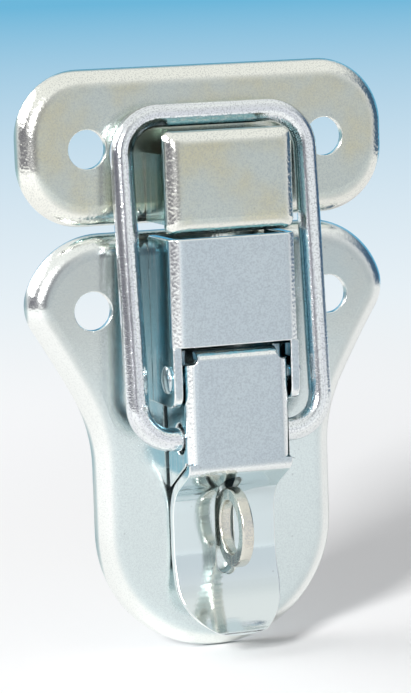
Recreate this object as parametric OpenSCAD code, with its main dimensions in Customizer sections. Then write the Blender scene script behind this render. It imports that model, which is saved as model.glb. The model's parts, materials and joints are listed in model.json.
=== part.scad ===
// Padlockable toggle latch: a base with an over-centre lever and wire bail, and a separate keeper.
// Millimetres. X runs across the latch, Z up along it, and the faces look towards -Y.
// The origin is midway between the base's two screw holes, on the mounting plane.

/* [Stock] */
// Thickness of every pressed sheet piece
sheet = 1.2; // [1:0.1:1.4]
// Diameter of the bail wire
wire_d = 3; // [2.4:0.1:3.4]
// Thickness of the padlock eye
eye_t = 1.6; // [1.4:0.1:2.2]

/* [Plates] */
// Height of the plate faces above the mounting plane, also the outer radius of the rims
plate_h = 3; // [2.7:0.1:3.3]
// Diameter of the screw holes
screw_d = 5; // [4:0.1:5.6]
// Distance between the two screw holes of a plate
screw_gap = 32.4; // [31:0.1:34]
// Gap between the two plates when the latch is closed
plate_gap = 0.9; // [0.5:0.1:2]

/* [Base plate] */
// Width across the two lobes of the base
base_w = 49.2; // [47:0.1:52]
// Height of the top edge above the screw holes
base_top = 9.7; // [9:0.1:11]
// Depth of the bottom edge below the screw holes
base_drop = 45.6; // [45:0.1:52]
// Width of the narrow lower half
waist_w = 32.6; // [30:0.1:36]
// Radius of the upper corners
shoulder_r = 10.5; // [9:0.1:11]
// Radius of the lobes beside the screw holes
lobe_r = 5.8; // [5:0.1:7]
// Angle at which a shoulder turns into a lobe
shoulder_turn = 20; // [10:1:30]
// Slope of a flank where it leaves its lobe, from upright
flank_turn = 32; // [31:1:36]
// Slope of a flank where it runs into the hollow, from upright
hollow_turn = 28; // [24:1:29]
// Radius of the hollow between a flank and the waist
hollow_r = 20; // [15:0.5:22]

/* [Keeper plate] */
// Width of the keeper plate
keeper_w = 50; // [48:0.1:54]
// Height of the keeper plate
keeper_h = 20.1; // [19:0.1:23]
// Corner radius of the keeper plate
keeper_r = 8.6; // [7:0.1:9.4]

/* [Keeper hook] */
// Width of the hook
hook_w = 17.3; // [15:0.1:18.5]
// Height of the hook along the latch
hook_h = 13.1; // [12:0.1:14]
// Distance of the hook's face from the mounting plane
hook_f = 12.1; // [11:0.1:13]
// Outer radius of the hook's rounded edges
hook_bend = 1.8; // [1.6:0.1:2]
// Corner radius of the hook seen from the front
hook_corner = 1.1; // [0.6:0.1:1.4]
// Width of the cut-outs at the corners of the hook's walls
hook_cut = 2.6; // [2.2:0.1:3]
// Height of a hook flank along the latch
hook_flank = 8.8; // [7.5:0.1:9.4]
// Height of a flank's lower end above the hook's bottom edge
hook_flank_up = 1.4; // [1.2:0.1:2]
// How far the bottom lip of the hook reaches back
hook_lip = 3.2; // [2.4:0.1:4]

/* [Lever housing] */
// Width of the housing
housing_w = 17.1; // [16:0.1:18.5]
// Distance of the housing's face from the mounting plane
housing_f = 12; // [11.8:0.1:12.6]
// Outer radius of the housing's bends
housing_bend = 1.8; // [1.6:0.1:2]
// Top end of the housing above the screw holes
housing_top = 9.3; // [8:0.1:10]
// Lower end of the housing's face, below the screw holes
housing_cut = 4.5; // [4:0.1:4.6]
// Lower end of the two ears, below the screw holes
ear_drop = 12.3; // [11.8:0.1:13]
// Distance of the ears' front edges from the mounting plane
ear_f = 11.4; // [11.2:0.1:11.6]
// Radius of the ears' lower front corners
ear_r = 2; // [1:0.1:2.4]
// Gap between the housing and the hook
hook_gap = 0.4; // [0.3:0.1:1]

/* [Pivot] */
// Depth of the lever's pivot below the screw holes
rivet_drop = 8.7; // [8.5:0.1:8.9]
// Distance of the lever's pivot from the mounting plane
rivet_f = 9; // [8.9:0.1:9.2]
// Diameter of the rivet's shank
rivet_d = 2.5; // [2:0.1:2.8]
// Diameter of the rivet's heads
rivet_head_d = 3.6; // [3.3:0.1:4]
// Height of the rivet's heads
rivet_head_h = 0.6; // [0.4:0.1:0.9]

/* [Lever] */
// Distance of the lever's face from the mounting plane
lever_f = 11.8; // [11.6:0.1:12]
// Outer radius of the lever's side and top bends
lever_bend = 1.6; // [1.5:0.1:1.8]
// Gap between the lever's top edge and the housing's face
lever_top_gap = 0.6; // [0.5:0.1:0.8]
// How far the top lip of the lever reaches back from its face
lever_lip = 2.3; // [1.8:0.1:2.6]
// Side of the notches in the lever's top corners
lever_notch = 1.6; // [1.2:0.1:1.8]
// Distance of the lever flanks' rear edges from the mounting plane
lever_rear = 3.8; // [3.5:0.1:4.4]
// Slit between a lever flank and the step of the tail
lever_slit = 0.35; // [0.3:0.05:0.6]
// Gap between a lever flank and an ear
side_gap = 0.3; // [0.2:0.05:0.5]

/* [Tail] */
// Straight part of the lever's face, from its top bend to the step
face_len = 12.8; // [12.4:0.1:13]
// Outer radius of the bend from the face to the step
step_bend = 2; // [1.6:0.1:2.4]
// Angle of the step from the face
step_turn = 60; // [58:1:62]
// Radius of the hollow at the foot of the step
step_foot_r = 5; // [4:0.1:6]
// Straight part of the tail along the base
tail_flat = 3.6; // [3:0.1:4.4]
// Radius of the upturned finger lip
lip_r = 12.4; // [11:0.1:13]
// Angle through which the finger lip turns up
lip_turn = 59; // [55:1:62]
// Corner radius of the finger lip seen from the front
lip_corner = 6.3; // [4:0.1:6.8]
// How much the lip's rounded end is cut back, as seen from the front
lip_trim = 0.5; // [0.2:0.1:0.8]
// Gap between the tail and the base plate
tail_gap = 0.35; // [0.3:0.05:0.6]

/* [Padlock eye] */
// Diameter of the hole for the padlock's shackle
eye_hole_d = 6.9; // [5.5:0.1:7]
// Width of the ring round that hole
eye_rim = 1.75; // [1.4:0.05:2]
// Depth of the hole's centre below the screw holes
eye_drop = 28.6; // [28:0.1:29]
// Distance of the hole's centre from the mounting plane
eye_f = 8.4; // [8.2:0.1:8.8]
// Width of the eye's shank
eye_shank = 7; // [5.5:0.1:8]
// Side clearance of the eye in the lever's slot
slot_side = 0.4; // [0.3:0.05:0.6]
// Clearance of the eye at the ends of the lever's slot
slot_end = 1.5; // [1.2:0.1:1.7]

/* [Bail] */
// Gap between a bail limb and the ear beside it
limb_gap = 2.4; // [1.8:0.1:3]
// Depth of the bail's pivot below the lever's pivot
bail_reach = 7.8; // [7.4:0.1:8.2]
// Distance of the bail's pivot from the mounting plane
bail_f = 8.5; // [8.2:0.1:8.7]
// Diameter of the lever's holes for the bail
bail_hole_d = 4; // [3.6:0.1:4.2]
// How far the bail's legs reach inside the lever flanks
leg_in = 1; // [0.5:0.1:1.5]
// Centre-line radius of the bail's upper corners
bail_top_r = 5; // [4:0.1:6]
// Centre-line radius of the bail's lower corners
bail_low_r = 4.5; // [3.5:0.1:5]
// Gap between the bail and the hook that it pulls on
bail_gap = 0.3; // [0.2:0.05:0.5]
// Gap between the bail's top bar and the keeper plate
bail_rear_gap = 0.45; // [0.35:0.05:0.8]

/* [Fits] */
// Length of the tabs that hold the raised pieces in the plates
tab_len = 4; // [3:0.1:4.4]
// How far a tab stands out behind its plate
tab_out = 0.5; // [0.3:0.1:1]
// Clearance of a tab all round in its slot
tab_fit = 0.05; // [0.03:0.01:0.1]
// How far a tab's sides stand back from its wall, so that the wall's foot hides the slot
tab_inset = 0.15; // [0.12:0.01:0.3]
// Radial running clearance of the lever on its rivet
pivot_fit = 0.05; // [0.03:0.01:0.08]
// Chamfer on the ends of the bail's legs
leg_chamfer = 0.4; // [0.2:0.1:0.6]

/* [Hidden] */
$fn = 96;

zinc = "#b9c4cc";
warm_zinc = "#b5b6a6";
bright_zinc = "#d3dce2";

// Cutters reach this far past what they cut
past = 1;
// Width of the flat strip inside a plate's rim, which overlaps the flat that it belongs to
plate_lap = 1.6;
// Turn between two points of a flat's filling, and of a bent strip's section
fill_turn = 15;
strip_turn = 4;
// Share of a straight edge drawn from each end, and the length below which an edge is left out
line_share = 0.6;
least_line = 0.01;

plate_back = plate_h - sheet;
waist = waist_w / 2;
foot_y = waist - base_drop;

keeper_y = base_top + plate_gap + keeper_h / 2;
hook_y0 = housing_top + hook_gap;
hook_y1 = hook_y0 + hook_h;
hook_wall = hook_f - plate_h - hook_bend;
hook_flank_y = hook_y0 + hook_flank_up;
// The hook's tabs sit midway between the edge of the keeper's flat and the top of the flanks
hook_tab_y = (keeper_y - keeper_h / 2 + plate_h + hook_flank_y + hook_flank) / 2;

ear_in = housing_w / 2 - sheet;
lever_x = ear_in - side_gap;
lever_in = lever_x - sheet;
face_x = lever_x - lever_bend;
lever_top = housing_cut + lever_top_gap;
lever_nose = rivet_drop - lever_top;
face_end = lever_top + lever_bend + face_len;
tail_front = plate_h + tail_gap + sheet;
step_len = (lever_f - step_bend * (1 - cos(step_turn)) - step_foot_r * (1 - cos(step_turn)) - tail_front)
           / sin(step_turn);
tail_end = face_end + (step_bend + step_foot_r) * sin(step_turn) + step_len * cos(step_turn)
           + tail_flat + (lip_r + sheet) * sin(lip_turn);

eye_r = eye_hole_d / 2 + eye_rim;
slot_w = eye_t + 2 * slot_side;

wire_r = wire_d / 2;
bail_drop = rivet_drop + bail_reach;
limb_x = housing_w / 2 + limb_gap + wire_r;
bar_f = plate_h + bail_rear_gap + wire_r;
bar_y = hook_y1 + bail_gap + wire_r;
bail_len = norm([bar_y + bail_drop, bail_f - bar_f]);
bail_lean = atan((bail_f - bar_f) / (bar_y + bail_drop));
leg_end = lever_in - leg_in;

// Housing tabs sit in the flat of the base, one pair by the ears and one under the face
housing_tab_y = [-ear_drop + tab_len, base_top - plate_h - tab_len];

// Centre of the shoulder arc and of the lobe arc on the right side of the base
function shoulder_c() = [base_w / 2 - lobe_r - (shoulder_r - lobe_r) * cos(shoulder_turn),
                         base_top - shoulder_r];
function lobe_c() = shoulder_c() + (shoulder_r - lobe_r) * [cos(shoulder_turn), sin(shoulder_turn)];

// A flank is a long shallow arc that touches both its lobe and its hollow
function flank_r() = (lobe_c().x + lobe_r * cos(flank_turn) - waist - hollow_r * (1 - cos(hollow_turn)))
                     / (cos(hollow_turn) - cos(flank_turn));
function flank_c() = lobe_c() + (lobe_r + flank_r()) * [cos(flank_turn), -sin(flank_turn)];
function hollow_c() = [waist + hollow_r, flank_c().y + (flank_r() - hollow_r) * sin(hollow_turn)];

// An outline is a list of tangent arcs, counter-clockwise: [centre, radius, from, to].
// A hollow arc has a negative radius and runs clockwise. Straight lines join the arcs
function base_outline() = [
  [[0, foot_y], waist, 180, 360],
  [hollow_c(), -hollow_r, 180, 180 - hollow_turn],
  [flank_c(), -flank_r(), 180 - hollow_turn, 180 - flank_turn],
  [lobe_c(), lobe_r, -flank_turn, shoulder_turn],
  [shoulder_c(), shoulder_r, shoulder_turn, 90],
  [mirrored(shoulder_c()), shoulder_r, 90, 180 - shoulder_turn],
  [mirrored(lobe_c()), lobe_r, 180 - shoulder_turn, 180 + flank_turn],
  [mirrored(flank_c()), -flank_r(), flank_turn, hollow_turn],
  [mirrored(hollow_c()), -hollow_r, hollow_turn, 0],
];

function mirrored(p) = [-p.x, p.y];

function rounded_outline(w, h, r) = [
  for (i = [0:3])
    let (sx = i == 0 || i == 3 ? 1 : -1, sy = i < 2 ? 1 : -1)
      [[sx * (w / 2 - r), sy * (h / 2 - r)], r, 90 * i, 90 * i + 90]
];

// Point of an outline's arc at an angle, moved inwards
function arc_point(arc, angle, inwards) =
  arc[0] + (abs(arc[1]) - sign(arc[1]) * inwards) * [cos(angle), sin(angle)];

// Points along the whole outline, moved inwards
function inner_points(outline, inwards) = [
  for (arc = outline)
    let (turn = arc[3] - arc[2], n = ceil(abs(turn) / fill_turn))
      for (k = [0:n]) arc_point(arc, arc[2] + turn * k / n, inwards)
];

// Turns what is drawn lying on its back so that it stands against a wall
module stand() {
  rotate([90, 0, 0]) children();
}

// Side profiles are drawn with x down along the latch and y out from the wall
module across(width) {
  rotate([90, 0, -90]) linear_extrude(width, center = true) children();
}

// A round bar across the latch
module cross_bar(drop, out, r, length) {
  translate([0, -drop, out]) rotate([0, 90, 0]) cylinder(r = r, h = length, center = true);
}

// Section of a pressed edge: flat strip, quarter bend and straight wall. x = 0 is the outside
module edge_section(bend, wall, lap) {
  translate([-bend - lap, wall + bend - sheet]) square([lap, sheet]);
  translate([-bend, wall]) intersection() {
    difference() {
      circle(bend);
      circle(bend - sheet);
    }
    square(bend);
  }
  if (wall > 0) translate([-sheet, 0]) square([sheet, wall]);
}

// A plate with its rim turned down all round an outline, to the mounting plane
module pressed_plate(outline) {
  count = len(outline);
  for (i = [0:count - 1]) {
    arc = outline[i];
    next = outline[(i + 1) % count];
    turned_arc(arc) edge_section(plate_h, 0, plate_lap);
    turned_line(arc_point(arc, arc[3], 0), arc_point(next, next[2], 0)) edge_section(plate_h, 0, plate_lap);
  }
  translate([0, 0, plate_back])
    linear_extrude(sheet) polygon(inner_points(outline, plate_h + plate_lap / 2));
}

module turned_arc(arc) {
  place(arc[0])
    rotate_extrude(angle = abs(arc[3] - arc[2]), start = min(arc[2], arc[3]))
      place([abs(arc[1]), 0]) mirror([arc[1] < 0 ? 1 : 0, 0]) children();
}

// A straight edge, drawn from both of its ends so that each end meets its arc exactly
module turned_line(from, to) {
  length = norm(to - from);
  half = line_share * length;
  turn = 90 * round(atan2(to.y - from.y, to.x - from.x) / 90) - 90;
  if (length > least_line) {
    place(to) rotate(turn) rotate([90, 0, 0]) linear_extrude(half) children();
    place(from) rotate(turn) translate([0, half, 0]) rotate([90, 0, 0]) linear_extrude(half) children();
  }
}

// Moves by thousandths first and then by the rest, which keeps tangent arcs closed
module place(p) {
  near = [for (v = p) round(v * 1000) / 1000];
  translate(near) translate(p - near) children();
}

// Section of a channel: a face with a bent wall on either side, foot at y = 0
module channel_section(half_w, height, bend) {
  for (side = [0, 1])
    mirror([side, 0]) translate([half_w, 0]) edge_section(bend, height - bend, half_w);
}

// A channel along the latch, from a top end down to a lower end
module channel(half_w, foot, out, bend, top, low) {
  translate([0, top, foot]) rotate([90, 0, 0])
    linear_extrude(top - low) channel_section(half_w, out - foot, bend);
}

// Front line of a bent strip, moved back by a depth, from a point and heading.
// Each step is [straight, turn, front radius], and a positive turn is to the left
function strip_line(steps, from, heading, back, at = 0) =
  at == len(steps) ? [] :
  let (straight = steps[at][0], turn = steps[at][1], r = steps[at][2],
       side = sign(turn), left = heading + 90,
       bend_from = from + straight * [cos(heading), sin(heading)],
       centre = bend_from + side * r * [cos(left), sin(left)],
       n = ceil(abs(turn) / strip_turn),
       after = heading + turn)
    concat(
      [from - back * [cos(left), sin(left)]],
      [for (k = [0:n])
        let (a = left + turn * k / n) centre - side * (r + side * back) * [cos(a), sin(a)]],
      strip_line(steps, centre - side * r * [cos(left + turn), sin(left + turn)], after, back, at + 1));

function reversed(list) = [for (i = [len(list) - 1:-1:0]) list[i]];

// Section of a bent strip between its front line and its back line
module bent_strip(steps, from, heading) {
  polygon(concat(strip_line(steps, from, heading, 0), reversed(strip_line(steps, from, heading, sheet))));
}

// The tab of an upright wall, through a plate's slot. The wall's thickness lies along x
module tab(x, y, wall_t, fit) {
  half_t = wall_t / 2 - tab_inset + fit;
  translate([x - half_t, y - tab_len / 2 - fit, plate_back - tab_out - fit])
    cube([2 * half_t, tab_len + 2 * fit, sheet + tab_out + 2 * fit]);
}

module housing_tabs(fit = 0) {
  for (side = [-1, 1], y = housing_tab_y) tab(side * (housing_w - sheet) / 2, y, sheet, fit);
}

module hook_tabs(fit = 0) {
  for (side = [-1, 1]) tab(side * (hook_w - sheet) / 2, hook_tab_y, sheet, fit);
}

module eye_tenon(fit = 0) {
  tab(0, -eye_drop, eye_t, fit);
}

module screw_holes(y) {
  for (side = [-1, 1])
    translate([side * screw_gap / 2, y, -past]) cylinder(d = screw_d, h = plate_h + 2 * past);
}

module base_plate() {
  color(bright_zinc) stand() difference() {
    pressed_plate(base_outline());
    screw_holes(0);
    housing_tabs(tab_fit);
    eye_tenon(tab_fit);
  }
}

module keeper_plate() {
  color(warm_zinc) stand() difference() {
    translate([0, keeper_y, 0])
      pressed_plate(rounded_outline(keeper_w, keeper_h, keeper_r));
    screw_holes(keeper_y);
    hook_tabs(tab_fit);
  }
}

// A folded cap whose walls are cut away at the corners and shortened below
module keeper_hook() {
  corner_x = hook_w / 2 - hook_cut;
  flank_top = hook_flank_y + hook_flank;
  color(warm_zinc) stand() {
    difference() {
      translate([0, (hook_y0 + hook_y1) / 2, plate_h]) {
        difference() {
          intersection() {
            hook_block(0, 0);
            linear_extrude(hook_f) rounded_plate(hook_w, hook_h, hook_corner);
          }
          hook_block(sheet, past);
        }
      }
      for (side = [0, 1]) mirror([side, 0, 0]) {
        translate([corner_x, flank_top, plate_h - past])
          cube([hook_cut + past, hook_y1 - flank_top + past, hook_wall + past]);
        translate([corner_x, hook_y0 - past, plate_h - past])
          cube([hook_cut + past, hook_flank_y - hook_y0 + past, hook_wall + past]);
      }
      translate([-hook_w / 2, hook_y0 - past, plate_h - past])
        cube([hook_w, sheet + 2 * past, hook_f - plate_h - hook_lip + past]);
    }
    hook_tabs();
  }
}

// The hook as a solid block with a bend along each edge of its face, so that the bends meet in mitres.
// The block's foot reaches a little lower where it is cut out of another one
module hook_block(inset, lower) {
  half_w = hook_w / 2 - inset;
  half_h = hook_h / 2 - inset;
  depth = hook_f - plate_h - inset + lower;
  translate([0, 0, -lower]) intersection() {
    translate([0, half_h, 0]) rotate([90, 0, 0])
      linear_extrude(2 * half_h) crowned(half_w, depth, hook_bend - inset);
    across(2 * half_w) crowned(half_h, depth, hook_bend - inset);
  }
}

// A section with rounded upper corners, foot at y = 0
module crowned(half_w, height, r) {
  translate([-half_w, 0]) square([2 * half_w, height - r]);
  translate([r - half_w, 0]) square([2 * (half_w - r), height]);
  for (side = [-1, 1]) translate([side * (half_w - r), height - r]) circle(r);
}

module rounded_plate(w, h, r) {
  square([w, h - 2 * r], center = true);
  square([w - 2 * r, h], center = true);
  for (x = [-1, 1], y = [-1, 1]) translate([x * (w / 2 - r), y * (h / 2 - r)]) circle(r);
}

// A channel over the lever's top, with two flat ears that carry the pivot
module lever_housing() {
  color(zinc) stand() difference() {
    union() {
      channel(housing_w / 2, plate_h, housing_f, housing_bend, housing_top, -housing_cut);
      for (side = [-1, 1])
        translate([side * (housing_w - sheet) / 2, 0, 0]) across(sheet) ear_side();
      housing_tabs();
    }
    cross_bar(rivet_drop, rivet_f, rivet_d / 2, housing_w + 2 * past);
  }
}

module ear_side() {
  length = ear_drop - housing_cut;
  translate([housing_cut, plate_h]) square([length - ear_r, ear_f - plate_h]);
  translate([housing_cut, plate_h]) square([length, ear_f - ear_r - plate_h]);
  translate([ear_drop - ear_r, ear_f - ear_r]) circle(ear_r);
}

// A shank through both ears, with a domed head on either side
module pivot_rivet() {
  dome_r = (rivet_head_d * rivet_head_d / 4 + rivet_head_h * rivet_head_h) / (2 * rivet_head_h);
  color(bright_zinc) stand() {
    cross_bar(rivet_drop, rivet_f, rivet_d / 2, housing_w);
    for (side = [0, 1]) mirror([side, 0, 0])
      translate([housing_w / 2, -rivet_drop, rivet_f]) rotate([0, 90, 0]) rotate_extrude()
        intersection() {
          translate([0, rivet_head_h - dome_r]) circle(dome_r);
          square([rivet_head_d, rivet_head_h]);
        }
  }
}

// A ring on a shank, pressed through the base plate
module padlock_eye() {
  color(warm_zinc) stand() {
    difference() {
      across(eye_t) {
        translate([eye_drop, eye_f]) circle(eye_r);
        translate([eye_drop - eye_shank / 2, plate_h]) square([eye_shank, eye_f - plate_h]);
      }
      cross_bar(eye_drop, eye_f, eye_hole_d / 2, eye_t + 2 * past);
    }
    eye_tenon();
  }
}

// The lever: a channel with side flanks, a top lip, and a stepped tail with an upturned finger lip
module lever() {
  color(zinc) stand() difference() {
    union() {
      difference() {
        intersection() {
          channel(lever_x, lever_rear, lever_f, lever_bend, -lever_top, -tail_end);
          across(2 * lever_x) lever_flank();
        }
        // Between the side bends the lip's own bend takes over
        translate([-face_x, -lever_top - lever_bend, lever_f - lever_lip])
          cube([2 * face_x, lever_bend + past, lever_lip + past]);
      }
      intersection() {
        across(2 * lever_x) lever_strip();
        lever_plan();
      }
    }
    for (side = [0, 1]) lever_corner_notch(side);
    cross_bar(rivet_drop, rivet_f, rivet_d / 2 + pivot_fit, 2 * lever_x + past);
    cross_bar(bail_drop, bail_f, bail_hole_d / 2, 2 * lever_x + past);
    eye_slot();
  }
}

// Side view of the whole strip, from the lip over the face to the finger lip
module lever_strip() {
  bent_strip([
    [lever_lip - lever_bend, -90, lever_bend],
    [face_len, -step_turn, step_bend],
    [step_len, step_turn, step_foot_r],
    [tail_flat, lip_turn, lip_r],
  ], [lever_top, lever_f - lever_lip], 90);
}

// Front view of the strip: between the side bends, then full width with rounded corners
module lever_plan() {
  lip_x = lever_x - lip_corner;
  lip_end = tail_end - lip_trim;
  corner_y = lip_corner - lip_end;
  linear_extrude(2 * lever_f) {
    translate([-face_x, -face_end]) square([2 * face_x, face_end]);
    translate([-lever_x, corner_y]) square([2 * lever_x, -face_end - corner_y]);
    translate([-lip_x, -lip_end]) square([2 * lip_x, lip_end - face_end]);
    for (side = [-1, 1]) translate([side * lip_x, corner_y]) circle(lip_corner);
  }
}

// Side view of a flank: round about the pivot, and cut back along the step of the tail
module lever_flank() {
  // A point on the step's back, and how far the flank's low edge stands off it
  back = [face_end + (step_bend - sheet - lever_slit) * sin(step_turn),
          lever_f - step_bend + (step_bend - sheet - lever_slit) * cos(step_turn)];
  tip = back + (back.y - lever_rear) / sin(step_turn) * [cos(step_turn), -sin(step_turn)];
  shoulder = lever_top + lever_notch / 2;
  translate([rivet_drop, rivet_f]) intersection() {
    circle(lever_nose);
    translate([-lever_nose, -lever_nose]) square([2 * lever_nose, lever_nose]);
  }
  polygon([
    [rivet_drop, rivet_f - lever_nose],
    [rivet_drop + lever_nose, lever_rear],
    [tip.x, lever_rear],
    back,
    [face_end, lever_f - lever_bend],
    [face_end, lever_f],
    [shoulder, lever_f],
    [shoulder, rivet_f],
    [rivet_drop, rivet_f],
  ]);
}

// A square notch with a round inner corner, cut through the lip and the bend
module lever_corner_notch(side) {
  r = lever_notch / 2;
  mirror([side, 0, 0]) translate([lever_x - r, -lever_top - r, lever_f - lever_lip - past])
    linear_extrude(lever_lip + 2 * past) {
      circle(r);
      translate([0, -r]) square([r + past, 2 * r]);
      translate([-r, 0]) square([2 * r + past, r + past]);
    }
}

// The opening that lets the eye stand through the tail
module eye_slot() {
  slot_top = eye_r + slot_end - slot_w / 2;
  translate([0, -eye_drop, plate_h]) linear_extrude(lever_f) {
    square([slot_w, 2 * slot_top], center = true);
    for (end = [-1, 1]) translate([0, end * slot_top]) circle(slot_w / 2);
  }
}

// A closed wire frame: top bar, two limbs and two short legs in the lever's flanks.
// It is drawn flat with the legs on the x axis and then leant back on to the keeper
module bail() {
  limb_len = bail_len - bail_top_r - bail_low_r;
  bar_len = 2 * (limb_x - bail_top_r);
  leg_len = limb_x - bail_low_r - leg_end;
  color(bright_zinc) stand() translate([0, -bail_drop, bail_f]) rotate([-bail_lean, 0, 0]) {
    translate([0, bail_len, 0]) rotate([0, 90, 0]) cylinder(r = wire_r, h = bar_len, center = true);
    for (side = [0, 1]) mirror([side, 0, 0]) {
      translate([limb_x, bail_low_r, 0]) rotate([-90, 0, 0]) cylinder(r = wire_r, h = limb_len);
      translate([limb_x - bail_top_r, bail_len - bail_top_r, 0]) wire_corner(bail_top_r, 0);
      translate([limb_x - bail_low_r, bail_low_r, 0]) wire_corner(bail_low_r, 270);
      translate([leg_end + leg_chamfer, 0, 0]) rotate([0, 90, 0])
        cylinder(r = wire_r, h = leg_len - leg_chamfer);
      translate([leg_end, 0, 0]) rotate([0, 90, 0])
        cylinder(r1 = wire_r - leg_chamfer, r2 = wire_r, h = leg_chamfer);
    }
  }
}

module wire_corner(r, from) {
  rotate(from) rotate_extrude(angle = 90) translate([r, 0]) circle(wire_r);
}

base_plate();
lever_housing();
pivot_rivet();
padlock_eye();
lever();
bail();
keeper_plate();
keeper_hook();
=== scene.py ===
# %% [markdown]
# # Padlockable toggle latch
# The latch is drawn elsewhere as exact solids. This lesson dresses those solids: it models the
# pieces whose surface the drawing only outlines, softens the edges of the others, gives each one
# its zinc finish, and lights the whole as in a small product studio.
# The first cell loads the solids as a fixed frame. Sizes are written in millimetres and turned
# into metres by one factor, because the frame is in metres.

# %% Load the frame
import json
import math

import bmesh
import bpy
from mathutils import Matrix, Vector


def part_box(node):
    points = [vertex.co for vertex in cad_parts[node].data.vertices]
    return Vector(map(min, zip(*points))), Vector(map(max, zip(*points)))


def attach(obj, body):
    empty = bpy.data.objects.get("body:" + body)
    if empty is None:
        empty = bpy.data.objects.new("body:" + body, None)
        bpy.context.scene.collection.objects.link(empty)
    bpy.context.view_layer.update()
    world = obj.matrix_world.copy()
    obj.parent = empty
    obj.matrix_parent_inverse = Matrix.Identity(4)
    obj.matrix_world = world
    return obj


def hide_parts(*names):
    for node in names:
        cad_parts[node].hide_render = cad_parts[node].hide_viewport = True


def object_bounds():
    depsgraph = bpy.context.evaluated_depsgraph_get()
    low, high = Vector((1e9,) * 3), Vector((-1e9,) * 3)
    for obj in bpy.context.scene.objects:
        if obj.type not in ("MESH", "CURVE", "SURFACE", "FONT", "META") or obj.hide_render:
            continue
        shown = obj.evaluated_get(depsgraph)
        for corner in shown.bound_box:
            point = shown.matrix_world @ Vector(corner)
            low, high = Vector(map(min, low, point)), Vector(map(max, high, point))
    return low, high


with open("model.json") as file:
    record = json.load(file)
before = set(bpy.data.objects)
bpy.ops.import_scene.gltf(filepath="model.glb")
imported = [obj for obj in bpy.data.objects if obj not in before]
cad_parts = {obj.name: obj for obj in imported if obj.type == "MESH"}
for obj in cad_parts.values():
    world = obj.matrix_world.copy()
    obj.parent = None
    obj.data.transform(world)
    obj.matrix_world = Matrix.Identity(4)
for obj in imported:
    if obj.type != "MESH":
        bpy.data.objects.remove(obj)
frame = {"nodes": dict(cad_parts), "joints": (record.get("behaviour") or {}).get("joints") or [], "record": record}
cad_low, cad_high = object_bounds()
MM = 0.001
scene = bpy.context.scene
scene.view_settings.view_transform = "Standard"
print("solids loaded:", ", ".join(sorted(frame["nodes"])))
print("box in mm:", [round((b - a) / MM, 1) for a, b in zip(cad_low, cad_high)])

# %% [markdown]
# ## Camera
# A long lens about 40 cm away keeps the plates nearly free of perspective, as in a catalogue
# picture. The camera stands a little to the left and above, and is rolled by two degrees. A
# constraint could aim it at the latch, but would leave out the roll. So its three axes are worked
# out first and become the columns of its matrix.

# %% Camera
AZIMUTH, ELEVATION, ROLL = (math.radians(degrees) for degrees in (19.73, 7.5, -1.96))
AIM = Vector((-0.13, 0, -6.07)) * MM
CAMERA_DISTANCE = 403.27
SENSOR_WIDTH = 36
FOCAL_PIXELS = 3092.68
IMAGE_HEIGHT_PIXELS = 693
CLIP_START = 0.01

back = Vector((-math.sin(AZIMUTH) * math.cos(ELEVATION),
               -math.cos(AZIMUTH) * math.cos(ELEVATION),
               math.sin(ELEVATION)))
level = Vector((math.cos(AZIMUTH), -math.sin(AZIMUTH), 0))
upright = back.cross(level)
right = level * math.cos(ROLL) + upright * math.sin(ROLL)
up = upright * math.cos(ROLL) - level * math.sin(ROLL)
camera = bpy.data.objects.new("camera", bpy.data.cameras.new("camera"))
scene.collection.objects.link(camera)
camera.matrix_world = Matrix((right, up, back)).transposed().to_4x4()
camera.location = AIM + back * CAMERA_DISTANCE * MM
camera.data.sensor_width = SENSOR_WIDTH
camera.data.lens = SENSOR_WIDTH * FOCAL_PIXELS / IMAGE_HEIGHT_PIXELS
camera.data.clip_start = CLIP_START
scene.camera = camera
print("camera at mm:", [round(v / MM, 1) for v in camera.location])
print("lens:", round(camera.data.lens, 1))

# %% [markdown]
# ## Shader expressions
# A finish is easier to read as a sum than as a tangle of nodes. This class wraps one shader socket.
# Each operator adds a Math node, and `node` adds any other kind: its settings are set first, then
# the values or links of its sockets.

# %% Shader expressions
class Term:
    """A shader socket that takes part in Python expressions."""

    def __init__(self, tree, socket=None):
        self.tree = tree
        self.socket = socket

    def node(self, kind, settings, sockets, output=0):
        made = self.tree.nodes.new("ShaderNode" + kind)
        for name, value in settings.items():
            setattr(made, name, value)
        for name, value in sockets.items():
            if isinstance(value, Term):
                self.tree.links.new(value.socket, made.inputs[name])
            else:
                made.inputs[name].default_value = value
        return Term(self.tree, made.outputs[output])

    def maths(self, operation, first, second=0.0):
        return self.node("Math", {"operation": operation}, {0: first, 1: second})

    def __add__(self, other):
        return self.maths("ADD", self, other)

    def __radd__(self, other):
        return self.maths("ADD", other, self)

    def __sub__(self, other):
        return self.maths("SUBTRACT", self, other)

    def __rsub__(self, other):
        return self.maths("SUBTRACT", other, self)

    def __mul__(self, other):
        return self.maths("MULTIPLY", self, other)

    def __rmul__(self, other):
        return self.maths("MULTIPLY", other, self)

    def __truediv__(self, other):
        return self.maths("DIVIDE", self, other)

    def __abs__(self):
        return self.maths("ABSOLUTE", self)

    def larger(self, other):
        return self.maths("MAXIMUM", self, other)

    def rise(self, low, high, foot=0.0, top=1.0):
        """Climbs smoothly from foot to top while this value goes from low to high."""
        return self.node("MapRange", {"interpolation_type": "SMOOTHSTEP"},
                         {0: self, 1: low, 2: high, 3: foot, 4: top})

    def colours(self, first, second):
        """Mixes two colours, with this value as the share of the second."""
        return self.node("Mix", {"data_type": "RGBA"}, {0: self, 6: first, 7: second}, 2)

    def stretched(self, *factors):
        """A place whose three parts are multiplied, so a pattern on it gets longer or shorter."""
        return self.node("VectorMath", {"operation": "MULTIPLY"}, {0: self, 1: factors})

    def noise(self, scale, detail=0.0, roughness=0.5):
        """Soft noise on this place, with so many features to a metre."""
        return self.node("TexNoise", {}, {"Vector": self, "Scale": scale, "Detail": detail,
                                          "Roughness": roughness})


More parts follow.
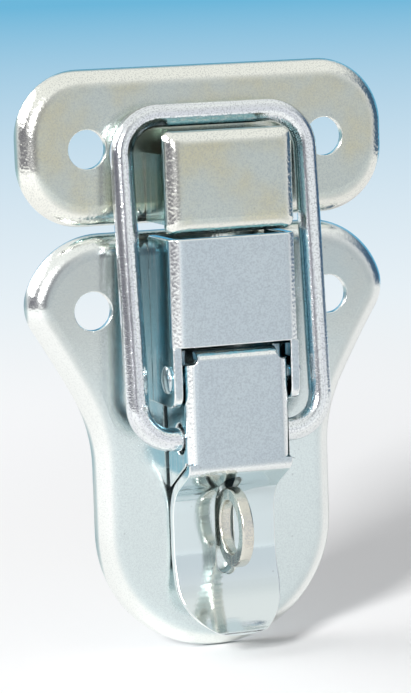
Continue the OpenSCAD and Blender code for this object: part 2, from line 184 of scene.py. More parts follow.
def rgb(red, green, blue):
    return (red, green, blue, 1.0)


print("shader expressions ready")

# %% [markdown]
# ## Zinc finishes
# All pieces are zinc-plated steel with a thin passivation layer. On the real latch it shows as
# faint yellow or blue clouds. Flat faces are satin with a fine even grain. Bends glitter, because
# bending the sheet opens its surface into small crystals, and they get a lighter colour, a painted
# highlight for the bright rims. Upright walls are smooth, and their darker blue-green colour is
# painted shade for the hollows, with lighter vertical stripes as painted reflections. The lever's
# tail is polished by fingers; its lighter colour, most of all towards its end and on its turned
# sides, is a painted reflection of the white floor and a painted sheen, and the lighter colour at
# the foot of a tall plate is a painted reflection of the floor too. These areas could be painted on
# an unwrapped sheet. One function that reads the object's own normals tells flats, bends and walls
# apart without that, and it serves every piece. The grain is mostly colour, and only the dimples of
# the bends are relief to speak of, because relief finer than a pixel breaks reflections into jagged
# lines. Scales count features to a metre, depths are in millimetres, and a range says between which
# two values an effect sets in.

# %% Zinc finishes
GRAIN_SCALE = 4600
FLECK_SCALE = 5200
DIMPLE_SCALE = 2600
CLOUD_SCALE = 95
REFLECTION_STREAK_SCALE = 1300
SPECK_SCALE = 300
REFLECTION_STREAK_STRETCH = (1.0, 1.0, 0.08)
GRAIN_DEPTH = 0.003
DIMPLE_DEPTH = 0.036

FRONT_RANGE = (0.86, 0.9985)
WALL_RANGE = (0.90, 0.9985)
CLOUD_RANGE = (0.42, 0.70)
GRAIN_RANGE = (0.38, 0.66)
FLECK_RANGE = (0.50, 0.68)
REFLECTION_STREAK_RANGE = (0.48, 0.64)
SPECK_RANGE = (0.02, 0.06)
FLECK_SHARE = 0.22
REFLECTION_STREAK_SHARE = 0.6
SPECK_SHARE = 0.3
GRAIN_ROUGHNESS = 0.12
DARK_FLECK = rgb(0.24, 0.27, 0.29)
DARK_GRAIN = rgb(0.30, 0.34, 0.39)

# Heights over which the foot of a tall plate turns lighter, a painted reflection of the floor.
FOOT_REFLECTION_RANGE = (2 * MM, -22 * MM)
# The tail is polished, and its lighter colour, most of all towards its end and on its turned sides, is a painted
# reflection of the floor and a painted sheen.
TAIL_RANGE = (-20.8 * MM, -21.6 * MM)
SHEEN_RANGE = (-33 * MM, -40 * MM)
SHEEN_SHARE = 0.5
TURNED_RANGE = (0.1, 0.4)
TURNED_ROUGHNESS = 0.2
TAIL_ROUGHNESS = 0.09
TAIL_POLISH = 0.9


def start_metal(name):
    material = bpy.data.materials.new(name)
    material.use_nodes = True
    material.node_tree.nodes["Principled BSDF"].inputs["Metallic"].default_value = 1.0
    return material, Term(material.node_tree)


def join_metal(material, tone, rough, relief):
    """Feeds colour, roughness and relief into the metal; the relief is a height in millimetres."""
    shader = material.node_tree.nodes["Principled BSDF"]
    bump = tone.node("Bump", {}, {"Height": relief, "Strength": 1.0, "Distance": MM})
    for term, socket in ((tone, "Base Color"), (rough, "Roughness"), (bump, "Normal")):
        material.node_tree.links.new(term.socket, shader.inputs[socket])
    return material


def zinc(name, face, cloud, bend_highlight, wall, flat_rough=0.34, bend_rough=0.19, wall_rough=0.14,
         cloud_share=0.8, glitter=1.0, dull=0.38, foot_reflection=None, tail=None):
    """A zinc finish. A colour for the foot of a tall plate lightens it there, as a painted reflection of the
    floor; a tail colour polishes the lever's end and lightens it, as a painted reflection of the floor.
    """
    material, make = start_metal(name)
    place = make.node("TexCoord", {}, {}, "Object")
    normal = make.node("TexCoord", {}, {}, "Normal")
    across, inwards, upwards = (make.node("SeparateXYZ", {}, {0: normal}, axis) for axis in "XYZ")
    height = make.node("SeparateXYZ", {}, {0: place}, "Z")

    front = abs(inwards).rise(*FRONT_RANGE)
    side = abs(across).larger(abs(upwards)).rise(*WALL_RANGE)
    bent = 1 - front.larger(side)

    grain = place.noise(GRAIN_SCALE, detail=2.0, roughness=0.6)
    flecks = place.noise(FLECK_SCALE)
    dimples = place.noise(DIMPLE_SCALE)
    clouds = place.noise(CLOUD_SCALE, detail=3.0, roughness=0.55)
    reflection_streaks = place.stretched(*REFLECTION_STREAK_STRETCH).noise(REFLECTION_STREAK_SCALE, detail=2.0)
    specks = make.node("TexVoronoi", {"feature": "F1"}, {"Vector": place, "Scale": SPECK_SCALE})

    tone = clouds.rise(*CLOUD_RANGE, top=cloud_share).colours(rgb(*face), rgb(*cloud))
    # painted reflection of the floor: the foot of a tall plate gets a lighter colour
    if foot_reflection is not None:
        tone = height.rise(*FOOT_REFLECTION_RANGE).colours(tone, rgb(*foot_reflection))
    # painted highlight: the bends get a lighter colour for the bright rims that mirror the lamps
    tone = bent.colours(tone, rgb(*bend_highlight))
    # painted shade: upright walls get a darker blue-green colour for the shade in the hollows beside them
    tone = side.colours(tone, rgb(*wall))
    rough = front * flat_rough + side * wall_rough + bent * bend_rough
    rough = rough + (grain - 0.5) * GRAIN_ROUGHNESS
    rub, matt = bent, front
    # painted reflection and sheen: the polished tail gets a lighter colour, and the colour of the bends towards
    # its end and on its turned sides
    if tail is not None:
        polish_and_sheen = height.rise(*TAIL_RANGE)
        turned = abs(across).rise(*TURNED_RANGE)
        painted_sheen = height.rise(*SHEEN_RANGE, top=SHEEN_SHARE).larger(turned)
        tone = polish_and_sheen.colours(tone, painted_sheen.colours(rgb(*tail), rgb(*bend_highlight)))
        rough = rough * (1 - polish_and_sheen) + polish_and_sheen * (TAIL_ROUGHNESS + turned * TURNED_ROUGHNESS)
        rub, matt = rub * (1 - polish_and_sheen * TAIL_POLISH), matt * (1 - polish_and_sheen)
    # painted reflection: lighter vertical stripes on the upright walls, in the colour of the flat faces
    tone = (side * reflection_streaks.rise(*REFLECTION_STREAK_RANGE) * REFLECTION_STREAK_SHARE).colours(tone, rgb(*face))
    tone = (rub * flecks.rise(*FLECK_RANGE) * (FLECK_SHARE * glitter)).colours(tone, DARK_FLECK)
    tone = (matt * grain.rise(*GRAIN_RANGE) * dull).colours(tone, DARK_GRAIN)
    tone = ((1 - specks.rise(*SPECK_RANGE)) * SPECK_SHARE).colours(tone, DARK_FLECK)

    relief = grain * GRAIN_DEPTH + rub * dimples * (DIMPLE_DEPTH * glitter)
    return join_metal(material, tone, rough, relief)


# The colours for the bends are painted highlights, those for the walls are painted shade, and the colours for the
# foot of the base plate and for the tail are painted reflections of the white floor.
LOOKS = {
    "bright_zinc": dict(face=(0.56, 0.60, 0.58), cloud=(0.53, 0.61, 0.62), bend_highlight=(0.93, 0.95, 0.92),
                        wall=(0.30, 0.44, 0.47), foot_reflection=(0.72, 0.80, 0.80), flat_rough=0.17,
                        glitter=0.5, dull=0.16),
    "satin_zinc": dict(face=(0.54, 0.61, 0.65), cloud=(0.56, 0.63, 0.66), bend_highlight=(0.95, 0.97, 0.96),
                       wall=(0.24, 0.51, 0.61), tail=(0.69, 0.78, 0.80), flat_rough=0.42,
                       wall_rough=0.07, glitter=0.6),
    "warm_zinc": dict(face=(0.58, 0.63, 0.59), cloud=(0.64, 0.60, 0.42), bend_highlight=(0.93, 0.93, 0.86),
                      wall=(0.28, 0.48, 0.50), flat_rough=0.22, dull=0.28),
    "eye_zinc": dict(face=(0.76, 0.74, 0.66), cloud=(0.72, 0.66, 0.56), bend_highlight=(0.76, 0.74, 0.66),
                     wall=(0.40, 0.47, 0.45), wall_rough=0.28, glitter=0.4),
    "rivet_zinc": dict(face=(0.66, 0.71, 0.72), cloud=(0.62, 0.67, 0.68), bend_highlight=(0.70, 0.76, 0.78),
                       wall=(0.48, 0.60, 0.64), glitter=0.4),
}
finishes = {name: zinc(name, **look) for name, look in LOOKS.items()}
print("finishes:", ", ".join(finishes))

# %% [markdown]
# ## Finish of the wire
# A drawn wire carries fine lines along its length, from the die that it was pulled through. They
# have to follow the wire round its corners, which a pattern on plain coordinates can't do. So this
# finish reads an attribute of the mesh in which the wire is laid out straight: two parts give the
# place in its section, the third the place along it. The attribute is written where the wire is
# modelled.

# %% Finish of the wire
LAID_OUT = "laid_out"
LINE_SCALE = 2400
LINE_STRETCH = (1.0, 1.0, 0.02)
LINE_RANGE = (0.38, 0.62)
PATCH_SCALE = 260
PATCH_STRETCH = (1.0, 1.0, 0.25)
WIRE_FLECK_RANGE = (0.50, 0.70)
WIRE_FLECK_SHARE = 0.3
WIRE_ROUGHNESS = 0.08
PATCH_ROUGHNESS = 0.10
LINE_ROUGHNESS = 0.08
LINE_DEPTH = 0.012
WIRE_FLECK_DEPTH = 0.014
WIRE_DIMPLE_DEPTH = 0.012


def drawn_zinc(name, bright, dull):
    material, make = start_metal(name)
    straight = make.node("Attribute", {"attribute_name": LAID_OUT}, {}, "Vector")
    lines = straight.stretched(*LINE_STRETCH).noise(LINE_SCALE, detail=2.0, roughness=0.6)
    flecks, dimples = straight.noise(FLECK_SCALE), straight.noise(DIMPLE_SCALE)
    patches = straight.stretched(*PATCH_STRETCH).noise(PATCH_SCALE, detail=2.0)
    tone = lines.rise(*LINE_RANGE).colours(rgb(*bright), rgb(*dull))
    tone = (flecks.rise(*WIRE_FLECK_RANGE) * WIRE_FLECK_SHARE).colours(tone, DARK_FLECK)
    rough = WIRE_ROUGHNESS + patches * PATCH_ROUGHNESS + lines * LINE_ROUGHNESS
    relief = lines * LINE_DEPTH + flecks * WIRE_FLECK_DEPTH + dimples * WIRE_DIMPLE_DEPTH
    return join_metal(material, tone, rough, relief)


finishes["wire_zinc"] = drawn_zinc("wire_zinc", bright=(0.93, 0.96, 0.95), dull=(0.80, 0.82, 0.85))
print("wire finish reads:", LAID_OUT)

# %% [markdown]
# ## Working by hand in code
# Modelling by hand means selecting something and then using a tool on it. In code the selection
# could be a list of numbers, but such a list goes wrong with the first change to the mesh. Here it
# is a test on the middle of each corner, edge or face, in millimetres, which says in words where
# the thing is. The other helpers are single strokes: extrude, scale, cut, and a ring to start from.

# %% Working by hand in code
SHEET = 1.2
TAB_SHARE = 0.75
SLIVER = 0.06
TOUCH = 0.02
JUST_PAST = 0.1


def alone(piece):
    bpy.ops.object.select_all(action="DESELECT")
    piece.select_set(True)
    bpy.context.view_layer.objects.active = piece


def open_mesh(piece):
    alone(piece)
    bpy.ops.object.mode_set(mode="EDIT")


def close_mesh():
    bpy.ops.object.mode_set(mode="OBJECT")


def pick(kind, test):
    """Selects the corners, edges or faces whose middle passes a test."""
    bpy.ops.mesh.select_mode(type=kind)
    bpy.ops.mesh.select_all(action="DESELECT")
    mesh = bmesh.from_edit_mesh(bpy.context.edit_object.data)
    for element in {"VERT": mesh.verts, "EDGE": mesh.edges, "FACE": mesh.faces}[kind]:
        corners = [element] if kind == "VERT" else list(element.verts)
        middle = sum((corner.co for corner in corners), Vector()) / len(corners) / MM
        if test(middle):
            element.select_set(True)
    bmesh.update_edit_mesh(bpy.context.edit_object.data)


def level_with(a, b):
    return abs(a - b) < TOUCH


def extrude(x, y, z):
    bpy.ops.mesh.extrude_region_move(TRANSFORM_OT_translate={"value": Vector((x, y, z)) * MM})


def scale_about(centre, x, y, z):
    bpy.ops.transform.resize(value=(x, y, z), center_override=Vector(centre) * MM)


def cut_across(place, normal):
    """Adds an edge line where a plane crosses the open mesh."""
    bpy.ops.mesh.select_all(action="SELECT")
    bpy.ops.mesh.bisect(plane_co=Vector(place) * MM, plane_no=normal)


def outwards():
    """Merges doubles and turns all faces of the open mesh outwards."""
    bpy.ops.mesh.select_all(action="SELECT")
    bpy.ops.mesh.remove_doubles(threshold=SLIVER * MM)
    bpy.ops.mesh.normals_make_consistent(inside=False)


def box_mm(node):
    low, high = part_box(node)
    return low / MM, high / MM


def start_piece(name):
    piece = bpy.context.active_object
    piece.name = name
    bpy.ops.object.transform_apply(location=True, rotation=True, scale=True)
    return piece


def start_ring(name, points, radius, centre):
    """Starts a piece as a circle whose axis runs across the latch."""
    bpy.ops.object.select_all(action="DESELECT")
    bpy.ops.mesh.primitive_circle_add(vertices=points, radius=radius * MM,
                                      rotation=(0, math.pi / 2, 0), location=Vector(centre) * MM)
    return start_piece(name)


print("modelling helpers ready")

# %% [markdown]
# ## Finishing a piece
# Every piece ends in the same way: narrow rounded edges, smooth shading with the flats kept flat, a
# finish, and the body that carries it, while the solid that it stands for is hidden. A bevel could
# take every sharp edge by its angle. Weights are used instead, on edges that stick out: in a
# hollow two bevels would run into each other, and the real metal is not rubbed there either. A
# short edge with a loose end is left out too, because its bevel would show as a stray line.

# %% Finishing a piece
RIDGE_ANGLE = math.radians(25)
SHORT_RIDGE = 2.0
SMOOTH_ANGLE = math.radians(35)
SEAM = 0.005


def apply_modifiers(piece):
    alone(piece)
    for modifier in list(piece.modifiers):
        bpy.ops.object.modifier_apply(modifier=modifier.name)


def thicken(piece, thickness, offset):
    wall = piece.modifiers.new("sheet", "SOLIDIFY")
    wall.thickness = thickness * MM
    wall.offset = offset
    wall.use_even_offset = True
    apply_modifiers(piece)


def add_other_half(piece):
    """Mirrors a piece across the latch's middle and closes the seam."""
    mirror = piece.modifiers.new("other half", "MIRROR")
    mirror.merge_threshold = SEAM * MM
    apply_modifiers(piece)
    open_mesh(piece)
    outwards()
    close_mesh()


def mark_ridges(piece):
    """Gives weight to the sharp edges that stick out, but not to a short one with a loose end."""
    open_mesh(piece)
    bpy.ops.mesh.select_mode(type="EDGE")
    bpy.ops.mesh.select_all(action="SELECT")
    bpy.ops.transform.edge_bevelweight(value=-1.0)
    bpy.ops.mesh.select_all(action="DESELECT")
    mesh = bmesh.from_edit_mesh(piece.data)
    ridges = {edge for edge in mesh.edges
              if edge.is_manifold and edge.is_convex and edge.calc_face_angle() > RIDGE_ANGLE}
    for edge in ridges:
        loose = any(ridges.isdisjoint(set(corner.link_edges) - {edge}) for corner in edge.verts)
        if not loose or edge.calc_length() > SHORT_RIDGE * MM:
            edge.select_set(True)
    bmesh.update_edit_mesh(piece.data)
    bpy.ops.transform.edge_bevelweight(value=1.0)
    close_mesh()


def dress(piece, node, body, slot, edge, rounds=3, careful=False):
    """Rounds the edges, shades the piece, gives it its finish and its body, and hides its solid."""
    mark_ridges(piece)
    bevel = piece.modifiers.new("edges", "BEVEL")
    bevel.width = edge * MM
    bevel.segments = rounds
    bevel.limit_method = "WEIGHT"
    bevel.use_clamp_overlap = careful
    apply_modifiers(piece)
    bpy.ops.object.shade_smooth_by_angle(angle=SMOOTH_ANGLE)
    weighted = piece.modifiers.new("normals", "WEIGHTED_NORMAL")
    weighted.keep_sharp = True
    apply_modifiers(piece)
    piece.data.materials.clear()
    piece.data.materials.append(finishes[slot])
    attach(piece, body)
    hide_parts(node)
    print(piece.name, "faces:", len(piece.data.polygons))


print("finishing helpers ready")

# %% [markdown]
# ## Pressings
# The two plates, the housing and the lever are sheet pressings whose solids already have every
# bend and hole. They could be folded again from flat strips, but the bends would only repeat what
# the solids have. A solid from the drawing has knife-sharp edges though, and no sheared edge is
# sharp. Each pressing is a copy of its solid: its loose triangles and slivers are merged, flat
# regions are dissolved into single faces, and a narrow bevel rolls the sharp edges. The fronts of
# the housing and of the lever are inset and raised by a hair, as a folded face bulges, so their
# borders catch light.

# %% Pressings
FLAT_ANGLE = math.radians(0.2)
FRONT_NORMAL = -0.999
LARGE_FACE = 60
BORDER = 1.4
BULGE = 0.05


def pressing(node, name, body, slot, edge, bulge=0.0):
    piece = bpy.data.objects.new(name, frame["nodes"][node].data.copy())
    scene.collection.objects.link(piece)
    open_mesh(piece)
    bpy.ops.mesh.select_all(action="SELECT")
    bpy.ops.mesh.customdata_custom_splitnormals_clear()
    bpy.ops.mesh.remove_doubles(threshold=SLIVER * MM)
    bpy.ops.mesh.dissolve_limited(angle_limit=FLAT_ANGLE)
    if bulge:
        mesh = bmesh.from_edit_mesh(piece.data)
        bpy.ops.mesh.select_mode(type="FACE")
        bpy.ops.mesh.select_all(action="DESELECT")
        for face in mesh.faces:
            large = face.calc_area() > LARGE_FACE * MM * MM
            face.select_set(large and face.normal.y < FRONT_NORMAL)
        bmesh.update_edit_mesh(piece.data)
        bpy.ops.mesh.inset(thickness=BORDER * MM, depth=bulge * MM)
    close_mesh()
    dress(piece, node, body, slot, edge)


pressing("base_plate", "base_pressing", "base", "bright_zinc", edge=0.15)
pressing("keeper_plate", "keeper_pressing", "base", "warm_zinc", edge=0.15)
pressing("lever_housing", "housing_fold", "base", "satin_zinc", edge=0.25, bulge=BULGE)
pressing("lever", "lever_strip", "lever", "satin_zinc", edge=0.2, bulge=BULGE)

# %% [markdown]
# ## Keeper hook
# The hook is a cap with soft edges: where two bends meet, the metal flows into a rounded corner.
# Rows of spun edges could make it, but their corners would have to be joined by hand.
# A box gets that shape from one bevel with weights: the edges of its face are rounded fully, the
# edges that run back only a little, and Blender fills the corners smoothly. Then the cap is opened
# at the back, its walls are cut away at the corners, and two tabs grow from the side walls. Its
# inner corners are tight, so its edges are rounded only as far as the bevel finds room.

# %% Keeper hook
HOOK_BEND = 2.2
HOOK_BEND_ROUNDS = 10
HOOK_CORNER = 1.1
HOOK_CUT = 2.6
HOOK_LIP = 3.2
FLANK_UP = 1.4
FLANK = 8.8
HOOK_TAB = 4.0

low, high = box_mm("keeper_hook")
seat = box_mm("keeper_plate")[0].y
flank_low = low.z + FLANK_UP
flank_high = flank_low + FLANK
tab_middle = (box_mm("keeper_plate")[0].z - seat + flank_high) / 2
corner_x = high.x - HOOK_CUT
bend_end = low.y + HOOK_BEND
lip_end = low.y + HOOK_LIP

bpy.ops.object.select_all(action="DESELECT")
bpy.ops.mesh.primitive_cube_add(
    size=1, location=Vector((0, (low.y + seat) / 2, (low.z + high.z) / 2)) * MM,
    scale=Vector((high.x - low.x, seat - low.y, high.z - low.z)) * MM)
hook = start_piece("hook_cap")
open_mesh(hook)
pick("EDGE", lambda p: level_with(p.y, low.y))
bpy.ops.transform.edge_bevelweight(value=1.0)
pick("EDGE", lambda p: level_with(p.y, (low.y + seat) / 2))
bpy.ops.transform.edge_bevelweight(value=HOOK_CORNER / HOOK_BEND)
close_mesh()
bends = hook.modifiers.new("bends", "BEVEL")
bends.limit_method = "WEIGHT"
bends.width = HOOK_BEND * MM
bends.segments = HOOK_BEND_ROUNDS
bends.use_clamp_overlap = False
apply_modifiers(hook)

open_mesh(hook)
for z in (flank_low, flank_high, tab_middle - HOOK_TAB / 2, tab_middle + HOOK_TAB / 2):
    cut_across((0, 0, z), (0, 0, 1))
for x in (-corner_x, corner_x):
    cut_across((x, 0, 0), (1, 0, 0))
cut_across((0, lip_end, 0), (0, 1, 0))
pick("FACE", lambda p: level_with(p.y, seat)
     or (p.y > bend_end and abs(p.x) > corner_x and not flank_low < p.z < flank_high)
     or (p.y > lip_end and level_with(p.z, low.z)))
bpy.ops.mesh.delete(type="FACE")
pick("EDGE", lambda p: level_with(p.y, seat) and abs(p.x) > corner_x
     and abs(p.z - tab_middle) < HOOK_TAB / 2)
extrude(0, high.y - seat, 0)
outwards()
close_mesh()
thicken(hook, SHEET, -1)
open_mesh(hook)
for side in (-1, 1):
    pick("VERT", lambda p: p.y > seat + JUST_PAST and p.x * side > 0)
    scale_about((side * (high.x - SHEET / 2), 0, 0), TAB_SHARE, 1, 1)
close_mesh()
dress(hook, "keeper_hook", "base", "warm_zinc", edge=0.2, careful=True)

# %% [markdown]
# ## Pivot rivet
# The rivet is a round shank whose ends were hammered to low domes. It could be a profile turned by
# the Screw modifier. Here half of it is grown ring by ring from a circle, which keeps every radius
# readable: along the shank, out to the edge of the head, and inwards over the dome. A mirror makes
# the other half.

# %% Pivot rivet
RIVET_POINTS = 48
SHANK_R = 1.25
HEAD_RIM = 0.15
DOME_STEPS = 7

low, high = box_mm("pivot_rivet")
ear = box_mm("lever_housing")[1].x
rivet_centre = Vector((0, (low.y + high.y) / 2, (low.z + high.z) / 2))
head_r = (high.z - low.z) / 2
dome_h = high.x - ear - HEAD_RIM

rivet = start_ring("pivot_pin", RIVET_POINTS, SHANK_R, rivet_centre)
open_mesh(rivet)
bpy.ops.mesh.select_all(action="SELECT")


def next_ring(step, ratio):
    """Extrudes the open ring along the shank and changes its radius."""
    extrude(step, 0, 0)
    scale_about(rivet_centre, 1, ratio, ratio)


next_ring(ear, 1)
next_ring(0, head_r / SHANK_R)
next_ring(HEAD_RIM, 1)
turns = [math.pi / 2 * k / DOME_STEPS for k in range(DOME_STEPS)]
for before, after in zip(turns, turns[1:]):
    next_ring(dome_h * (math.sin(after) - math.sin(before)), math.cos(after) / math.cos(before))
bpy.ops.mesh.edge_face_add()
outwards()
close_mesh()
add_other_half(rivet)
dress(rivet, "pivot_rivet", "base", "rivet_zinc", edge=0.05, rounds=2)

# %% [markdown]
# ## Padlock eye
# The eye is stamped from thicker plate: a ring on a shank that is staked through the base. A torus
# would be round where the stamping is flat, so the outline is drawn first. A circle is extruded
# inwards to make the ring, some of its outer edges are drawn out to the base to make the shank, and
# a narrower part goes on as the tenon. Then the flat shape is thickened to both sides, and its
# edges are rounded well, because a shackle has to slide through it.

# %% Padlock eye
EYE_SHANK = 7.0
EYE_TENON = 4.0
RING_POINTS = 96
NEAR_RIM = 0.99

low, high = box_mm("padlock_eye")
hole = next(m for m in frame["record"]["mounts"] if m["name"] == "padlock_hole")
eye = Vector(hole["pos_m"]) / MM
eye_t = high.x - low.x
ring_r = eye.y - low.y
hole_ratio = hole["dims"]["r_mm"] / ring_r
seat = box_mm("base_plate")[0].y

ring = start_ring("eye_ring", RING_POINTS, ring_r, eye)
open_mesh(ring)
bpy.ops.mesh.select_all(action="SELECT")
extrude(0, 0, 0)
scale_about(eye, 1, hole_ratio, hole_ratio)
pick("EDGE", lambda p: (p - eye).length > ring_r * NEAR_RIM and p.y > eye.y
     and abs(p.z - eye.z) < EYE_SHANK / 2)
extrude(0, JUST_PAST, 0)
scale_about((0, seat, 0), 1, 0, 1)
pick("EDGE", lambda p: level_with(p.y, seat) and abs(p.z - eye.z) < EYE_TENON / 2)
extrude(0, high.y - seat, 0)
outwards()
close_mesh()
thicken(ring, eye_t, 0)
open_mesh(ring)
pick("VERT", lambda p: p.y > seat + JUST_PAST)
scale_about((0, 0, 0), TAB_SHARE, 1, 1)
close_mesh()
dress(ring, "padlock_eye", "base", "eye_zinc", edge=0.3, rounds=4)

# %% [markdown]
# ## Wire bail
# The bail is one wire, bent at four corners, with its legs in the lever's flanks. It could be a
# curve with a round section. A ring of edges that is extruded along the straights and spun round
# the corners gives the same with full control of the mesh. Half is made, from the end of a leg to
# the middle of the top bar, and mirrored. The wire lies in a plane that leans back on to the
# keeper, so one direction runs up along it and one goes square through it. Beside the mesh, a list
# of points along the wire's middle is kept: it later lays the wire out straight for its finish. A
# small dent with a raised border at the lower left corner is the mark of the bending tool.

# %% Wire bail
WIRE_R = 1.5
LEG_CHAMFER = 0.4
LEG_REACH = 1.0
TOP_R = 5.0
LOW_R = 4.5
SECTION_POINTS = 40
CORNER_STEPS = 18
LEG_STEPS = 4
LIMB_STEPS = 40
BAR_STEPS = 10
QUARTER_BACK = -math.pi / 2

low, high = box_mm("bail")
pivot = Vector(next(j for j in frame["joints"] if j["name"] == "bail_swing")["pos_m"]) / MM
bar = Vector((0, high.y - WIRE_R, high.z - WIRE_R))
leftwards = Vector((-1, 0, 0))
along = (bar - pivot).normalized()
out = along.cross(Vector((1, 0, 0)))
reach = (bar - pivot).length
limb_x = high.x - WIRE_R
leg_end = box_mm("lever")[1].x - SHEET - LEG_REACH

wire = start_ring("bail_wire", SECTION_POINTS, WIRE_R - LEG_CHAMFER, (-leg_end, pivot.y, pivot.z))
middle_line = []


def run(direction, length, steps):
    """Extrudes the open ring along a straight, in equal steps."""
    start = middle_line[-1]
    for k in range(steps):
        extrude(*(direction * length / steps))
        middle_line.append(start + direction * length * (k + 1) / steps)


def turn_corner(to_centre):
    """Spins the open ring by a quarter turn round a corner's centre."""
    start = middle_line[-1]
    centre = start + to_centre
    bpy.ops.mesh.spin(steps=CORNER_STEPS, angle=QUARTER_BACK, center=centre * MM, axis=out)
    for k in range(CORNER_STEPS):
        turned = Matrix.Rotation(-QUARTER_BACK * (k + 1) / CORNER_STEPS, 3, out)
        middle_line.append(centre + turned @ (start - centre))


open_mesh(wire)
bpy.ops.mesh.select_all(action="SELECT")
bpy.ops.mesh.edge_face_add()
bpy.ops.mesh.select_mode(type="EDGE")
extrude(-LEG_CHAMFER, 0, 0)
full = WIRE_R / (WIRE_R - LEG_CHAMFER)
scale_about(pivot, 1, full, full)
bpy.ops.mesh.delete(type="ONLY_FACE")
pick("EDGE", lambda p: level_with(p.x, -leg_end - LEG_CHAMFER))
middle_line.append(Vector((-leg_end - LEG_CHAMFER, pivot.y, pivot.z)))
run(leftwards, limb_x - LOW_R - leg_end - LEG_CHAMFER, LEG_STEPS)
turn_corner(along * LOW_R)
run(along, reach - LOW_R - TOP_R, LIMB_STEPS)
turn_corner(-leftwards * TOP_R)
run(-leftwards, limb_x - TOP_R, BAR_STEPS)
outwards()
close_mesh()
print("half wire in mm:", [round(v / MM, 2) for v in wire.dimensions])
add_other_half(wire)

# %% [markdown]
# ## Mark of the bending tool
# The dent at the wire's lower left corner could be relief in its finish, but its border shows
# against the light. A few faces are divided there, the middle is pushed in, and a ring about it is
# pushed out, as the metal that the tool displaced.

# %% Mark of the bending tool
NICK_UP = 4.3
NICK_IN = 0.5
NICK_SINK = 0.1
NICK_REACH = 1.0
NICK_CUTS = 4
NICK_RINGS = ((0.0, 0.28, -0.14), (0.28, 0.5, 0.12))

nick = pivot + leftwards * (limb_x - NICK_IN) + along * NICK_UP - out * (WIRE_R - NICK_SINK)
open_mesh(wire)
pick("FACE", lambda p: (p - nick).length < NICK_REACH)
bpy.ops.mesh.subdivide(number_cuts=NICK_CUTS, quadcorner="INNERVERT")
for near, far, push in NICK_RINGS:
    pick("VERT", lambda p: near <= (p - nick).length < far)
    bpy.ops.transform.shrink_fatten(value=push * MM)
close_mesh()
print("mark at mm:", [round(v, 1) for v in nick])

# %% [markdown]
# ## Laying the wire out
# A UV map could hold the drawn lines, but it would have a seam along the wire. An attribute with
# three parts has none. Each corner of the mesh finds the nearest point of the wire's middle line.
# What is left over is its place in the section, and the length up to that point is its place along
# the wire. A mirrored corner counts from the other end.

# %% Laying the wire out
lengths = [0.0]
for before, after in zip(middle_line, middle_line[1:]):
    lengths.append(lengths[-1] + (after - before).length)
last = len(lengths) - 1
laid_out = wire.data.attributes.new(LAID_OUT, "FLOAT_VECTOR", "POINT")
for corner in wire.data.vertices:
    place = corner.co / MM
    mirrored = place.x > 0
    place.x = -abs(place.x)
    index = min(range(len(middle_line)), key=lambda k: (middle_line[k] - place).length_squared)
    spoke = place - middle_line[index]
    before, after = middle_line[max(index - 1, 0)], middle_line[min(index + 1, last)]
    heading = (after - before).normalized()
    distance = lengths[index] + spoke.dot(heading)
    if mirrored:
        distance = 2 * lengths[-1] - distance
    straight = Vector((spoke.dot(out), spoke.dot(heading.cross(out)), distance))
    laid_out.data[corner.index].vector = straight * MM
print("wire length in mm:", round(2 * (lengths[-1] + LEG_CHAMFER), 1))
dress(wire, "bail", "bail", "wire_zinc", edge=0.08, rounds=2)

# %% [markdown]
# ## Room that the metal mirrors
# Bright metal shows little but its surroundings, so a plain white room would make it look like
# paper. A real room could be built of walls. Here a function gives mirror rays the colours of one
# by their direction: dark walls left and right, a bright one at the front right, a pale one at the
# back left, and the backdrop behind the latch. The floor and the sky both use it.

# %% Room that the metal mirrors
BACKDROP = rgb(0.155, 0.475, 0.705)
BRIGHT_WALL = rgb(0.80, 0.82, 0.85)
LEFT_WALL = rgb(0.17, 0.17, 0.20)
RIGHT_WALL = rgb(0.05, 0.11, 0.19)
SIDES_RANGE = (-0.3, 0.3)
BACK_SLANT = 0.4
BACK_LEFT_RANGE = (0.55, 0.95)
BACKDROP_RANGE = (0.75, 0.95)
FRONT_RIGHT_X, FRONT_RIGHT_Y = 0.5, 0.87
FRONT_RIGHT_RANGE = (0.60, 0.88)


def seen_by_eye_or_mirror(make):
    """One for rays of the camera, of mirrors and of clear things, and one for mirrors alone."""
    camera_ray, glossy_ray, clear_ray = (make.node("LightPath", {}, {}, "Is " + kind + " Ray")
                                         for kind in ("Camera", "Glossy", "Transmission"))
    return camera_ray.larger(glossy_ray).larger(clear_ray), glossy_ray


def room_colour(sideways, backwards):
    slant = sideways * BACK_SLANT
    front_right = sideways * FRONT_RIGHT_X - backwards * FRONT_RIGHT_Y
    walls = sideways.rise(*SIDES_RANGE).colours(LEFT_WALL, RIGHT_WALL)
    walls = (backwards - slant).rise(*BACK_LEFT_RANGE).colours(walls, BRIGHT_WALL)
    walls = (backwards + slant).rise(*BACKDROP_RANGE).colours(walls, BACKDROP)
    return front_right.rise(*FRONT_RIGHT_RANGE).colours(walls, BRIGHT_WALL)


print("room ready")

# %% [markdown]
# ## Floor
# The latch stands on a white sheet that runs far back and turns pale blue, as a studio sweep does.
# A curved sheet could be modelled, but it would show its edge from other sides. Here it is a wide
# disc. Near the latch it is a plain white surface that takes the shadow. Far away it glows for the
# camera and for reflections only, so it adds no light. Its distances are in metres.

# %% Floor
WHITE = rgb(0.97, 0.98, 0.98)
NEAR_PAPER = rgb(0.87, 0.87, 0.87)
FAR_PAPER = rgb(0.96, 0.97, 0.98)
FLOOR_REACH = 8.0
FLOOR_POINTS = 128
PAPER_RANGE = (0.06, 0.26)
GLOW_RANGE = (0.13, 0.42)
ROOM_RANGE = (0.26, 0.55)
FADE_LENGTH = 1.3
FADE_START = 0.1
FADE_GAIN = 1.5

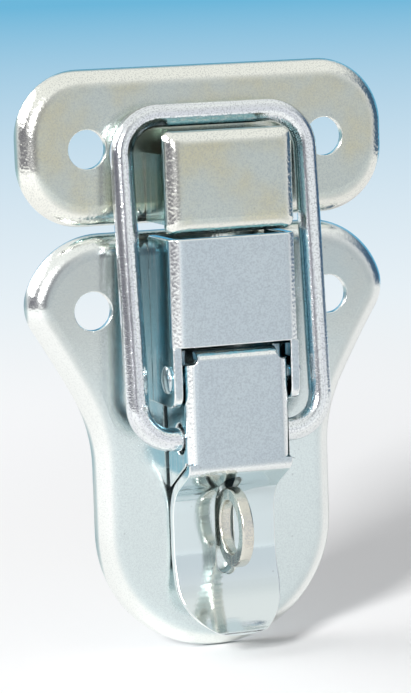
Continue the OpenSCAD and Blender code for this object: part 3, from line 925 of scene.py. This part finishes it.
bpy.ops.object.select_all(action="DESELECT")
bpy.ops.mesh.primitive_circle_add(vertices=FLOOR_POINTS, radius=FLOOR_REACH, fill_type="NGON",
                                  location=(0, 0, cad_low.z))
floor = bpy.context.active_object
floor.name = "floor"
sheet = bpy.data.materials.new("white_sheet")
sheet.use_nodes = True
make = Term(sheet.node_tree)
spot = make.node("TexCoord", {}, {}, "Object")
distance = make.node("VectorMath", {"operation": "LENGTH"}, {0: spot}, "Value")
seen, mirrored = seen_by_eye_or_mirror(make)
paper = distance.rise(*PAPER_RANGE).colours(NEAR_PAPER, FAR_PAPER)
near_surface = make.node("BsdfDiffuse", {}, {"Color": paper})
fade = (distance / (distance + FADE_LENGTH) - FADE_START) * FADE_GAIN
behind = fade.colours(WHITE, BACKDROP)
sideways, backwards = (make.node("SeparateXYZ", {}, {0: spot}, axis) / distance for axis in "XY")
around = distance.rise(*ROOM_RANGE).colours(WHITE, room_colour(sideways, backwards))
glow = mirrored.colours(behind, around)
far_glow = make.node("Emission", {}, {"Color": glow, "Strength": 1.0})
share = distance.rise(*GLOW_RANGE) * seen
both = make.node("MixShader", {}, {0: share, 1: near_surface, 2: far_glow})
sheet.node_tree.links.new(both.socket, sheet.node_tree.nodes["Material Output"].inputs["Surface"])
floor.data.materials.append(sheet)
print("floor at mm:", round(cad_low.z / MM, 2))

# %% [markdown]
# ## Sky
# Above the sheet the camera sees the backdrop, and mirror rays see the room and a light ceiling.
# One colour could serve both, but the metal would lose its dark parts. All other rays meet a weak
# even light, which fills the shadow as a white room does.

# %% Sky
CEILING = rgb(0.86, 0.88, 0.87)
CEILING_RANGE = (0.30, 0.80)
ROOM_LIGHT = rgb(0.97, 0.98, 1.0)
ROOM_STRENGTH = 0.35

world = bpy.data.worlds.new("studio")
world.use_nodes = True
scene.world = world
make = Term(world.node_tree)
direction = make.node("TexCoord", {}, {}, "Generated")
sideways, backwards, climb = (make.node("SeparateXYZ", {}, {0: direction}, axis) for axis in "XYZ")
seen, mirrored = seen_by_eye_or_mirror(make)
horizon = mirrored.colours(BACKDROP, room_colour(sideways, backwards))
sky = climb.rise(*CEILING_RANGE).colours(horizon, CEILING)
room = make.node("Background", {}, {"Color": ROOM_LIGHT, "Strength": ROOM_STRENGTH})
shown = make.node("Background", {}, {"Color": sky, "Strength": 1.0})
both = make.node("MixShader", {}, {0: seen, 1: room, 2: shown})
world.node_tree.links.new(both.socket, world.node_tree.nodes["World Output"].inputs["Surface"])
print("world:", scene.world.name)

# %% [markdown]
# ## Lamps
# The key lamp stands far away at the front left and low, which gives the long soft shadow to the
# right. A broad panel at the left is what the rounded rims mirror as their white edge. Spots would
# make hard shadows and small highlights, so both are area lamps. The room's own light fills the
# shadow. The strengths are set so that the white sheet stays just below pure white. Places and
# sizes are in metres.

# %% Lamps
def lamp(name, place, target, size, watts):
    light = bpy.data.lights.new(name, "AREA")
    light.shape = "RECTANGLE"
    light.size, light.size_y = size
    light.energy = watts
    lit = bpy.data.objects.new(name, light)
    scene.collection.objects.link(lit)
    lit.location = place
    lit.rotation_euler = (Vector(target) - Vector(place)).to_track_quat("-Z", "Y").to_euler()


lamp("key", place=(-1.05, -1.10, 0.58), target=(0, 0, -0.01), size=(0.32, 0.42), watts=36.0)
lamp("panel", place=(-0.71, 0.36, 0.50), target=(0, 0, 0), size=(1.1, 0.5), watts=4.6)
